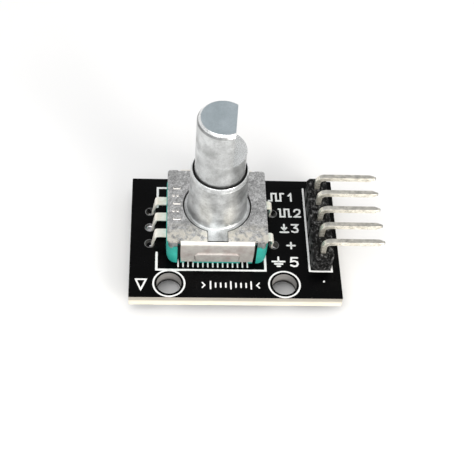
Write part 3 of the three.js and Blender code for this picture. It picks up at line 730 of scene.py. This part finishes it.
def printed_marks():
    """White marks on the top face: frames, hole rings, pin numbers and plain symbols."""
    bm = bmesh.new()

    def line(points, width=0.3, closed=False):
        ribbon(bm, points, width, BOARD_TOP, 0.022, ragged=0.05, closed=closed)

    left, right = HOUSING_LOW.x - 1.16, HOUSING_HIGH.x - 0.13
    front, back = HOUSING_LOW.y - 0.95, HOUSING_HIGH.y + 0.95
    line([(left, -3.9), (left, front), (right, front), (right, back), (left, back), (left, 3.3)], 0.32)
    for hole in MOUNTING_HOLES:
        line(circle(hole, 1.9, 48), 0.24, True)

    header_low, header_high = box_mm("header_housing")
    left, right = header_low.x - 0.2, header_high.x + 0.02
    front, back = header_low.y - 0.1, header_high.y + 0.3
    line([(left, back), (left, front), (right, front), (right, front + 2.4)], 0.27)

    labels = [
        (0, PULSES, 7.0, 8.95, -0.45, 0.75),
        (0, ONE, 9.55, 10.2, -0.45, 0.75),
        (1, LATE_PULSES, 8.2, 9.75, -0.5, 0.7),
        (1, TWO, 10.2, 10.95, -0.5, 0.7),
        (2, PUSH, 8.25, 9.25, -0.45, 0.75),
        (2, THREE, 9.75, 10.5, -0.45, 0.75),
        (3, PLUS, 9.0, 9.95, -0.45, 0.45),
        (4, GROUND, 7.0, 8.5, -0.6, 0.7),
        (4, FIVE, 9.3, 10.15, -0.65, 0.65),
    ]
    for row, strokes, x0, x1, below, above in labels:
        y = PIN_CENTRES[row].y
        for stroke in fitted(strokes, (x0, y + below), (x1, y + above)):
            line(stroke, 0.27)

    dial_y = BOARD_LOW.y + 1.85
    for i in range(9):
        x = -0.75 + i * 0.62
        tall = 0.5 if i % 4 == 0 else 0.28
        line([(x, dial_y - tall), (x, dial_y + tall)], 0.22)
    line([(-1.75, dial_y - 0.35), (-1.45, dial_y), (-1.75, dial_y + 0.35)], 0.2)
    line([(5.2, dial_y + 0.35), (4.9, dial_y), (5.2, dial_y - 0.35)], 0.2)

    x, y = BOARD_LOW.x + 1.45, BOARD_LOW.y + 1.1
    line([(x - 0.62, y + 1.5), (x, y), (x + 0.62, y + 1.5)], 0.24, True)
    for i in range(15):
        x, y = -4.7 + i * 0.61, HOUSING_LOW.y - 0.45
        line([(x, y), (x, y + (1.2 if i % 5 == 0 else 0.7))], 0.2)
    line([(13.2, BOARD_LOW.y + 2.5), (13.22, BOARD_LOW.y + 2.56)], 0.24)
    finished(object_from(bm), "printed_marks", [INK])


def covered_traces():
    """Copper tracks that show as low ridges under the solder mask, on both faces."""
    bm = bmesh.new()
    a, c, b, d, e = TERMINAL_CENTRES
    pin = PIN_CENTRES
    back, front = BOARD_HIGH.y, BOARD_LOW.y
    left = a.x - 0.9
    routes = [
        [pin[0].xy, (12.1, 6.0), (11.3, back - 1.1), (-7.6, back - 1.1)]
        + [(left, back - 2.4), (left, 3.4), a.xy],
        [b.xy, (b.x - 0.9, -3.6), (b.x - 0.9, -5.2), (-8.2, front + 4.4)],
        [pin[4].xy, (12.3, -6.1), (11.8, front + 3.95), (3.2, front + 3.95), (-3.6, front + 3.8)],
        [d.xy, (8.2, 3.6), (10.4, 3.7), (11.4, 2.0), pin[2].xy],
        [(-9.9, front + 0.28), (14.6, front + 0.28)],
    ]
    for route in routes:
        ribbon(bm, route, 0.42, BOARD_TOP, 0.016)
    under = [
        [c.xy, (c.x + 1.4, 0), (-4.2, -2.4), (9.0, -3.2), (10.6, -4.4), pin[4].xy],
        [e.xy, (8.3, -3.6), (11.2, -4.4), (12.1, -5.08), pin[4].xy],
        [b.xy, (b.x + 1.6, -4.0), (-4.5, -5.4), (9.4, -6.4), (11.3, 1.0), pin[1].xy],
        [pin[3].xy, (11.6, -1.9), (11.2, -1.9)],
        [pin[3].xy, (11.9, -0.6), (11.6, 1.5), (11.2, 1.9)],
    ]
    for route in under:
        ribbon(bm, route, 0.42, BOARD_LOW.z, 0.016, side=-1)
    finished(object_from(bm), "covered_traces", [MASK])


# ------ encoder body


def inset_outline(low, high, inset, corner):
    """The outline of a box with rounded corners, moved in by inset all round."""
    near, far = (low.x + inset, low.y + inset), (high.x - inset, high.y - inset)
    return rounded_rectangle(near, far, corner - inset, 12)


def terminal_slots(gap=0.02):
    """Cutters for the strips that leave the housing's sides."""
    tools = []
    for name in TERMINALS:
        low, high = box_mm(name)
        outer, inner = (low.x, high.x) if low.x < 0 else (high.x, low.x)
        xs = sorted((outer, inner - math.copysign(0.2, inner)))
        corner = (xs[0], low.y - gap, high.z - TERMINAL_SHEET - gap)
        tools.append(block(corner, (xs[1], high.y + gap, high.z + gap)))
    return tools


def leg_gaps(low, high):
    """Cutters for the upright grooves beside each cover leg, at the front and back."""
    tools = []
    for x in LEG_GAPS:
        for y in (low.y, high.y):
            tools.append(block((x, y - 0.6, low.z - 2), (x + LEG_GAP_WIDTH, y + 0.6, high.z + 3)))
    return tools


def darken_leg_gaps(obj, index):
    """Paints shade on the walls of the grooves beside the legs, with a near-black material."""
    for face in obj.data.polygons:
        place = face.center / METRES
        if 4.43 < abs(place.x) < 4.83 and abs(place.y) > 4.8 and abs(face.normal.z) < 0.8:
            face.material_index = index


def encoder_housing():
    """The upper moulding: an open cup round the rotor, rebated for the casting that closes it."""
    low, high = HOUSING_LOW, HOUSING_HIGH
    cup = prism(inset_outline(low, high, 0.0, HOUSING_CORNER), low.z, high.z)
    skirt = prism(inset_outline(BUSHING_LOW, BUSHING_HIGH, -0.02, 0.5), high.z - 0.3, high.z + 1)
    cut(skirt, disc(CAVITY_WALL_RADIUS, high.z - 1, high.z + 2))
    cavity = disc(CAVITY_RADIUS, CAVITY_FLOOR, high.z + 1)
    throat = disc(2.95, low.z - 1, high.z, 72)
    cut(cup, skirt, cavity, throat, *terminal_slots(), *leg_gaps(low, high))
    for name in SIGNAL_TERMINALS:
        y = centre_mm(name).y
        cut(cup, block((-5.3, y - 0.4, CAVITY_FLOOR), (-3.5, y + 0.4, CAVITY_FLOOR + 0.6)))
    # The rounded edges get the painted highlight material in slot 1.
    softened(cup, 0.1, 3, edge_slot=1)
    finished(cup, "encoder_moulding", MOULDED, ["encoder_housing"])
    darken_leg_gaps(cup, 2)


def switch_housing():
    """The lower moulding: a tray on a narrower foot, with the pocket for the push switch."""
    low, high = SWITCH_LOW, SWITCH_HIGH
    tray = prism(inset_outline(low, high, 0.0, HOUSING_CORNER), low.z + 0.45, high.z - 0.06)
    join(tray, prism(inset_outline(low, high, 0.1, HOUSING_CORNER), low.z, low.z + 0.6))
    cut(tray, disc(2.6, low.z + 0.25, high.z + 1, 72), *leg_gaps(low, high))
    for name in SWITCH_TERMINALS:
        y = centre_mm(name).y
        cut(tray, block((0, y - 0.35, low.z + 0.25), (4.75, y + 0.35, high.z + 1)))
    for x in (-3.4, 3.4):
        for y0, y1 in ((low.y - 1, low.y + 0.4), (high.y - 0.4, high.y + 1)):
            cut(tray, block((x - 0.5, y0, low.z - 1), (x + 0.5, y1, low.z + 0.3)))
    # The rounded edges get the painted highlight material in slot 1.
    softened(tray, 0.1, 3, edge_slot=1)
    finished(tray, "switch_moulding", MOULDED, ["switch_housing"])
    darken_leg_gaps(tray, 2)


def bushing():
    """Die-cast bushing: square base, collar with its key tab, and a barrel with a turned rim."""
    low, high = BUSHING_LOW, BUSHING_HIGH
    base_top = COVER_HIGH.z - SHEET
    collar_top = COVER_HIGH.z - 0.08
    base = prism(rounded_rectangle(low[:2], high[:2], 0.5, 8), low.z - 0.28, base_top)
    cut(base, disc(5.07, low.z - 1, low.z), *leg_gaps(low, high))
    foot, rim = 3.62, 3.42
    profile = [(COLLAR_RADIUS, low.z + 0.2), (COLLAR_RADIUS, collar_top - 0.07)]
    profile += [(4.03, collar_top - 0.02), (3.98, collar_top)]
    profile += arc((foot + 0.24, collar_top + 0.24), 0.24, 270, 187, 7)
    profile += [(rim + 0.045, high.z - 0.56), (rim + 0.01, high.z - 0.53), (rim + 0.01, high.z - 0.49)]
    profile += [(rim + 0.04, high.z - 0.46), (rim + 0.035, high.z - 0.41), (rim - 0.045, high.z - 0.05)]
    profile += [(rim - 0.06, high.z - 0.035), (rim - 0.075, high.z - 0.045), (rim - 0.09, high.z - 0.03)]
    profile += [(rim - 0.11, high.z), (3.0, high.z)]
    barrel = turned(profile, 128)
    tab = block((-1.19, low.y - 0.02, low.z + 0.3), (1.19, -3.2, collar_top))
    join(base, tab, barrel)
    for radius, bottom in ((BORE_RADIUS, low.z - 1), (COUNTERBORE_RADIUS, high.z - 0.6)):
        cut(base, disc(radius, bottom, high.z + 1, 128))
    softened(base, 0.03, 2, 40)
    finished(base, "bushing_casting", [CAST, RECESS_SHADE, CHAMFER_HIGHLIGHT], ["bushing"], angle=48)
    # Painted shade in the counterbore and on the gap floor round the collar; painted highlight on the
    # upward faces of the rim.
    for face in base.data.polygons:
        place = face.center / METRES
        reach = place.xy.length
        in_gap = abs(place.z - base_top) < 0.02 and face.normal.z > 0.9
        if in_gap or (reach < 3.3 and high.z - 0.65 < place.z < high.z - 0.06):
            face.material_index = 1
        elif place.z > high.z - 0.42 and face.normal.z > 0.3:
            face.material_index = 2
    darken_leg_gaps(base, 1)


def cover_leg(side):
    """The folded leg at the front (side -1) or back (side 1), with its pressed rib."""
    outer = LEG_FACE
    top = COVER_HIGH.z
    foot = COVER_LOW.z
    radius = 0.42
    bend = (outer - radius, top - radius)
    profile = [(outer - 0.9, top), *arc(bend, radius, 90, 0, 8)]
    profile += [(outer, foot + 0.02), (outer - SHEET, foot + 0.02)]
    profile += [*arc(bend, radius - SHEET, 0, 90, 3), (outer - 0.9, top - SHEET)]
    leg = prism([(side * y, z) for y, z in profile], -LEG_HALF_WIDTH, LEG_HALF_WIDTH, "x")
    for end in (-1, 1):
        slope = [(end * (LEG_HALF_WIDTH - 0.12), foot - 0.5), (end * (LEG_HALF_WIDTH + 0.02), foot + 1.6)]
        slope += [(end * 5, foot + 1.6), (end * 5, foot - 0.5)]
        cut(leg, prism(slope, side * outer - 0.6, side * outer + 0.6, "y"))
    rib_z = foot + 0.97
    rib = []
    for share, rise in ((1.0, -0.1), (0.96, 0.06), (0.84, 0.15), (0.6, 0.2)):
        half = (2.45 + 0.3 * share, 0.42 + 0.36 * share)
        low, high = (-half[0], rib_z - half[1]), (half[0], rib_z + half[1])
        outline = rounded_rectangle(low, high, half[1] * 0.75)
        rib.append([(x, side * (outer + rise), z) for x, z in outline])
    return join(leg, lofted(rib))


def cover_plate():
    low = (COVER_LOW.x, -COVER_HALF_DEPTH)
    high = (COVER_HIGH.x, COVER_HALF_DEPTH)
    bottom = COVER_HIGH.z - SHEET
    plate = prism(rounded_rectangle(low, high, 0.4), bottom, COVER_HIGH.z)
    for side in (-1, 1):
        edge = sorted((side * 5.2, side * 6.5))
        relief = sorted((side * 5.42, side * 6.5))
        cut(plate, block((-LEG_HALF_WIDTH, edge[0], bottom - 1), (LEG_HALF_WIDTH, edge[1], bottom + 2)))
        for x in (-LEG_HALF_WIDTH - 0.4, LEG_HALF_WIDTH):
            slot = rounded_rectangle((x, relief[0]), (x + 0.4, relief[1]), 0.1, 4)
            cut(plate, prism(slot, bottom - 1, bottom + 2))
    join(plate, cover_leg(-1), cover_leg(1))
    cut(plate, disc(COVER_OPENING_RADIUS, bottom - 1, bottom + 2, 128))
    cut(plate, block((-1.26, -5.62, bottom - 1), (1.26, -3.4, bottom + 2)))
    marks = []
    for i in range(5):
        y = 2.45 - i * 1.2
        for x in (-5.5, -5.0) if i % 2 else (-5.42,):
            marks.append(stamped_bar(x, y, 0.3 if i % 2 else 0.95))
    join(plate, *marks)
    softened(plate, 0.045, 2, edge_slot=1)
    looks = [COVER, FOLD, SHADE]
    finished(plate, "cover_stamping", looks, ["cover_plate"], angle=40)
    # The legs and the sides of the pressed marks take the fold material, with its painted highlight and
    # shade.
    for face in plate.data.polygons:
        place = face.center / METRES
        on_leg = abs(place.y) > 5.3 and abs(place.x) < 4.5
        on_mark = place.z > COVER_HIGH.z + 0.01
        if on_leg or (on_mark and face.normal.z < 0.9):
            face.material_index = 1
        # Sloping faces of the leg ribs get the painted shade material.
        slanted = abs(face.normal.y) < 0.86
        if on_leg and slanted and abs(place.y) > LEG_FACE + 0.01 and face.normal.z < 0.1:
            face.material_index = 2


def stamped_bar(x, y, length):
    """A plain raised bar with sloping sides on the cover's top face."""
    rings = []
    for inset, rise in ((0.0, -0.1), (0.0, 0.0), (0.08, 0.07)):
        low = (x + inset, y + inset)
        high = (x + length - inset, y + 0.36 - inset)
        outline = rounded_rectangle(low, high, 0.1 - inset * 0.6, 3)
        rings.append([(u, v, COVER_HIGH.z + rise) for u, v in outline])
    return lofted(rings)


# ------ shaft and moving parts


def shaft():
    """The knob's shaft: chamfered end, flat with a square shoulder, and its foot below."""
    low, high = SHAFT_LOW, SHAFT_HIGH
    groove_top = BOARD_TOP + 3.33
    profile = [(2.2, BOARD_TOP + 3.04), (2.2, groove_top), (SHAFT_RADIUS, groove_top)]
    profile += [(SHAFT_RADIUS, high.z - 0.5), (SHAFT_RADIUS - 0.03, high.z - 0.44)]
    profile += [(SHAFT_RADIUS - 0.16, high.z - 0.24), (SHAFT_RADIUS - 0.34, high.z - 0.05)]
    profile += [(SHAFT_RADIUS - 0.42, high.z)]
    body = turned(profile, 128)
    cut(body, block((FLAT_DISTANCE, -4, FLAT_BOTTOM), (5, 4, high.z + 1)))
    foot = disc(2.7, BOARD_TOP + 1.85, BOARD_TOP + 3.08, 72)
    for side in (-1, 1):
        ys = sorted((side * 1.95, side * 4.0))
        cut(foot, block((-4, ys[0], 0), (4, ys[1], 8)))
    join(body, foot, disc(1.4, low.z, BOARD_TOP + 2, 48))
    softened(body, 0.035, 2, 30)
    body.data.transform(Matrix.Rotation(SHAFT_TURN, 4, "Z"))
    looks = [SHAFT, CHAMFER_HIGHLIGHT, SHAFT_END, BAND_SHADE]
    finished(body, "knob_shaft", looks, ["shaft"], angle=40, body="shaft")
    # Upward faces of the chamfer and of the flat's shoulder get the painted highlight, and the lower
    # chamfer facet the painted shade.
    for face in body.data.polygons:
        rise = face.center.z / METRES
        shoulder = abs(rise - FLAT_BOTTOM) < 0.04
        if face.normal.z > 0.95 and not shoulder:
            face.material_index = 2
        elif (rise > high.z - 0.23 or shoulder) and face.normal.z > 0.2:
            face.material_index = 1
        elif rise > high.z - 0.47 and face.normal.z > 0.2:
            face.material_index = 3


def snap_dome():
    low, high = box_mm("switch_dome")
    rise = high.z - low.z
    steps = 14
    outside, inside = [], []
    for i in range(steps + 1):
        share = i / steps
        height = low.z + rise * math.cos(share * math.pi / 2)
        outside.append((max(2.3 * share, 0.02), height))
        inside.append((max(2.22 * share, 0.02), max(low.z, height - 0.08 * (1 - share))))
    dome = turned(inside + outside[::-1], 64, closed=True)
    finished(dome, "snap_dome", [BRONZE], ["switch_dome"])
    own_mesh(dome)


# ------ wires


def bent_strip(stations, y):
    """Sweeps a rounded section through stations of (x, z, tilt, width, thickness, corner)."""
    rings = []
    for x, z, tilt, width, thickness, corner in stations:
        normal = Vector((math.cos(tilt), 0, math.sin(tilt)))
        outline = section(width, thickness, corner)
        rings.append([Vector((x, y + across, z)) + normal * out for across, out in outline])
    return lofted(rings)


def terminal(name):
    """A tinned strip: flat out of the housing, bent at its knee, necked and through the board."""
    low, high = box_mm(name)
    left = low.x < 0
    outer = max(abs(low.x), abs(high.x))
    inner = min(abs(low.x), abs(high.x))
    width = high.y - low.y
    knee, bend = (outer - KNEE_SPREAD, 0.4) if left else (outer, 0.5)
    middle = bend - TERMINAL_SHEET / 2
    level = high.z - TERMINAL_SHEET / 2
    centre_x, centre_z = knee - bend, high.z - bend
    lean = math.atan2(outer - knee, centre_z - BOARD_TOP)
    stations = []
    for i in range(5):
        stations.append((inner + (centre_x - inner) * i / 4, level, math.pi / 2, width))
    for i in range(1, 11):
        angle = math.pi / 2 + (lean - math.pi / 2) * i / 10
        bend_x, bend_z = centre_x + middle * math.cos(angle), centre_z + middle * math.sin(angle)
        stations.append((bend_x, bend_z, angle, width))
    leg_x = outer - TERMINAL_SHEET / 2
    neck = BOARD_TOP + 0.45
    shoulder = max(high.z - bend - 0.15, neck + 0.2)
    for z, wide in ((shoulder, width), (neck, 0.5)):
        share = (bend_z - z) / (bend_z - BOARD_TOP)
        stations.append((bend_x + (leg_x - bend_x) * share, z, lean, wide))
    stations.append((leg_x, BOARD_TOP, lean / 2, 0.5))
    for z, wide in ((BOARD_TOP - 0.2, 0.5), (low.z + 0.5, 0.48), (low.z + 0.12, 0.36), (low.z, 0.24)):
        stations.append((leg_x, z, 0.0, wide))
    full = []
    for x, z, tilt, wide in stations:
        thick = TERMINAL_SHEET if z > low.z + 0.3 else TERMINAL_SHEET * 0.7
        full.append((x, z, tilt, wide, thick, 0.055))
    strip = bent_strip(full, (low.y + high.y) / 2)
    if left:
        strip.data.transform(Matrix.Scale(-1, 4, (1, 0, 0)))
        strip.data.flip_normals()
    finished(strip, f"{name}_strip", [TERMINAL], [name], angle=50)


def header_pin(name):
    """A square pin that comes up out of the header, bends and runs past the board's edge."""
    low, high = box_mm(name)
    half = PIN_SIZE / 2
    bend = 0.5 + half
    column = low.x + half
    level = high.z - half
    side = math.pi / 2
    stations = [(column, low.z, math.pi, 0.3), (column, low.z + 0.08, math.pi, 0.36)]
    stations += [(column, z, math.pi, PIN_SIZE) for z in (low.z + 0.42, level - bend - 0.4)]
    for i in range(13):
        angle = math.pi - math.pi / 2 * i / 12
        x, z = column + bend + bend * math.cos(angle), level - bend + bend * math.sin(angle)
        stations.append((x, z, angle, PIN_SIZE))
    for share in (0.25, 0.5, 0.75, 1):
        x = column + bend + (high.x - 0.75 - column - bend) * share
        stations.append((x, level, side, PIN_SIZE))
    stations += [(high.x - 0.1, level, side, 0.34), (high.x, level, side, 0.26)]
    full = [(x, z, tilt, wide, wide, min(0.06, wide * 0.2)) for x, z, tilt, wide in stations]
    wire = bent_strip(full, (low.y + high.y) / 2)
    finished(wire, f"{name}_wire", [PIN, PIN_TIP, PIN_TOP_SHADE], [name], angle=50)
    for face in wire.data.polygons:
        if face.center.x / METRES > high.x - 0.2:
            face.material_index = 1
        # Upward faces get the painted shade.
        elif face.normal.z > 0.8:
            face.material_index = 2


def header_housing():
    """Five joined cells with chamfered corners, a countersink round each pin, and grey edges that are
    partly scuffing and partly painted highlight.
    """
    low, high = box_mm("header_housing")
    middle = (low.x + high.x) / 2
    half = 1.27
    flat = half - 0.4
    rows = [pin.y for pin in PIN_CENTRES]
    outline = []
    for side, order in ((1, rows[::-1]), (-1, rows)):
        for y in order:
            outline.append((middle + side * flat, y - side * half))
            outline += [(middle + side * half, y - side * flat), (middle + side * half, y + side * flat)]
        outline.append((middle + side * flat, order[-1] + side * half))
    housing = prism(outline, low.z, high.z)
    for y in rows:
        sink = []
        for reach, level in ((0.36, high.z - 0.22), (0.62, high.z + 0.04)):
            corners = ((-1, -1), (1, -1), (1, 1), (-1, 1))
            sink.append([(middle + a * reach, y + b * reach, level) for a, b in corners])
        cut(housing, lofted(sink))
    for y in rows[:-1]:
        seam = y - half
        groove_low = (middle - half, seam - 0.05, high.z - 0.16)
        cut(housing, block(groove_low, (middle + half, seam + 0.05, high.z + 1)))
    softened(housing, 0.07, 2, edge_slot=1)
    finished(housing, "header_moulding", [BLACK, SCUFFED_AND_HIGHLIT], ["header_housing"])


def solder_joint(node, wire_half, hole_radius, sunk=0.05):
    """A bright fillet on the underside, rising up the wire, and the fill inside the hole."""
    low, high = box_mm(node)
    middle = centre_mm(node)
    wide = (high.x - low.x) / 2
    profile = []
    for i in range(12, -1, -1):
        share = i / 12
        radius = wire_half + (wide - wire_half) * (1 - share) ** 2.2
        profile.append((radius, -0.02 + (low.z + 0.02) * share))
    profile += [(wide, 0.0), (hole_radius - 0.01, 0.02), (hole_radius - 0.05, high.z - sunk)]
    profile += [(hole_radius - 0.2, high.z - sunk - 0.11)]
    joint = turned(profile, 48, middle.xy)
    finished(joint, f"{node}_fillet", [SOLDER], [node], angle=60)


def chip_resistor(node):
    """A chip resistor under the board: ceramic body, glazed face, tinned ends and fillets."""
    low, high = box_mm(node)
    core = block((low.x + 0.12, low.y + 0.04, low.z + 0.06), (high.x - 0.12, high.y - 0.04, -0.03))
    softened(core, 0.03)
    finished(core, f"{node}_ceramic", [ALUMINA], [node])
    glaze = block((low.x + 0.34, low.y + 0.06, low.z + 0.015), (high.x - 0.34, high.y - 0.06, low.z + 0.08))
    softened(glaze, 0.02)
    finished(glaze, f"{node}_glaze", [CERAMIC])
    for side, x in ((-1, low.x), (1, high.x)):
        inner = x - side * 0.42
        cap = block((min(x, inner), low.y, low.z), (max(x, inner), high.y, -0.02))
        softened(cap, 0.06, 3)
        slope = ((-0.02, -0.38), (0.12, -0.16), (0.42, -0.03), (0.42, 0.0), (-0.02, 0.0))
        slope = [(x + side * reach, z) for reach, z in slope]
        fillet = prism(slope, low.y + 0.05, high.y - 0.05, "y")
        softened(fillet, 0.02)
        ending = "left" if side < 0 else "right"
        finished(merged([cap, fillet]), f"{node}_{ending}_end", [SOLDER])


# ------ carried-over CAD nodes

BRONZE_NODES = ["code_disc", "detent_spring", "retaining_clip", "switch_contact_ring", "switch_contact_pad"]
BRONZE_NODES += ["wiper_a", "wiper_b", "wiper_c"]


def inner_parts():
    """Hidden working parts keep their CAD shape, with rounded edges and their own material."""
    for name in ["rotor", "switch_plunger", *BRONZE_NODES]:
        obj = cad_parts[name]
        obj.data.materials.clear()
        obj.data.materials.append(BRONZE if name in BRONZE_NODES else RESIN)
        flatten = obj.modifiers.new("flatten", "DECIMATE")
        flatten.decimate_type = "DISSOLVE"
        flatten.angle_limit = math.radians(1)
        soften = obj.modifiers.new("soften", "BEVEL")
        soften.width = 0.02 * METRES
        soften.segments = 2
        soften.limit_method = "ANGLE"


# ------ stage, lights and camera


def stage():
    floor = block((-900, -900, -6), (900, 900, 0))
    floor.name = "floor"
    floor.data.transform(Matrix.Scale(METRES, 4))
    floor.location.z = cad_low.z - 0.00002
    floor.data.materials.append(stage_paper())


def area_light(name, place, target, size, power, tint=(1, 1, 1)):
    light = bpy.data.lights.new(name, "AREA")
    light.shape = "DISK"
    light.size = size
    light.energy = power
    light.color = tint
    obj = placed(name, light)
    obj.location = place
    obj.rotation_euler = (Vector(target) - Vector(place)).to_track_quat("-Z", "Y").to_euler()


def sky():
    """A soft studio dome: bright low down and in front, darker overhead and behind."""
    world = bpy.data.worlds.new("studio")
    bpy.context.scene.world = world
    world.use_nodes = True
    tree = world.node_tree
    tree.nodes.clear()
    kinds = ("TexCoord", "SeparateXYZ", "ValToRGB", "MapRange", "Background", "OutputWorld")
    place, axes, rise, depth, background, output = (tree.nodes.new("ShaderNode" + kind) for kind in kinds)
    set_stops(rise, ((0.0, 0.95), (0.3, 0.92), (0.62, 0.78), (0.9, 0.66)))
    depth.inputs["From Min"].default_value = -1
    depth.inputs["To Min"].default_value = 1.1
    depth.inputs["To Max"].default_value = 0.85
    tree.links.new(place.outputs["Generated"], axes.inputs[0])
    tree.links.new(axes.outputs["Z"], rise.inputs["Fac"])
    tree.links.new(axes.outputs["Y"], depth.inputs["Value"])
    tree.links.new(rise.outputs["Color"], background.inputs["Color"])
    tree.links.new(depth.outputs["Result"], background.inputs["Strength"])
    tree.links.new(background.outputs[0], output.inputs["Surface"])


def lights():
    sky()
    centre = (0.002, 0, 0.006)
    area_light("key", (-0.10, -0.17, 0.33), centre, 0.34, 0.6)
    area_light("front_fill", (0.2, -0.26, 0.15), centre, 0.16, 0.7, (1, 0.96, 0.9))


def camera():
    """The camera looks down at the middle of the board, with a slight roll."""
    azimuth, elevation, roll = (math.radians(a) for a in (-6.58, 53.07, 6.04))
    distance = 130.7
    middle = (BOARD_LOW + BOARD_HIGH) / 2
    aim = Vector((middle.x + 0.35, middle.y - 0.06, BOARD_TOP))
    level = math.cos(elevation)
    back = Vector((math.sin(azimuth) * level, -math.cos(azimuth) * level, math.sin(elevation)))
    right = UP.cross(back).normalized()
    top = back.cross(right)
    across = right * math.cos(roll) + top * math.sin(roll)
    upright = top * math.cos(roll) - right * math.sin(roll)
    data = bpy.data.cameras.new("camera")
    data.lens = 78.8
    data.sensor_width = 36
    data.clip_start = 0.005
    data.clip_end = 10
    obj = placed("camera", data)
    turn = Matrix((across, upright, back)).transposed().to_4x4()
    obj.matrix_world = Matrix.Translation((aim + back * distance) * METRES) @ turn
    bpy.context.scene.camera = obj


camera()
lights()
stage()
circuit_board()
plated_rims()
printed_marks()
covered_traces()
switch_housing()
encoder_housing()
bushing()
cover_plate()
shaft()
snap_dome()
for strip in TERMINALS:
    terminal(strip)
    solder_joint(f"solder_{strip}", 0.3, TERMINAL_HOLE_RADIUS, 0.0 if strip == "terminal_c" else 0.7)
for index in range(1, 6):
    header_pin(f"header_pin_{index}")
    solder_joint(f"solder_pin_{index}", 0.46, PIN_HOLE_RADIUS)
header_housing()
for resistor in ("pull_up_resistor_1", "pull_up_resistor_2"):
    chip_resistor(resistor)
inner_parts()
bpy.context.scene.view_settings.view_transform = "Standard"
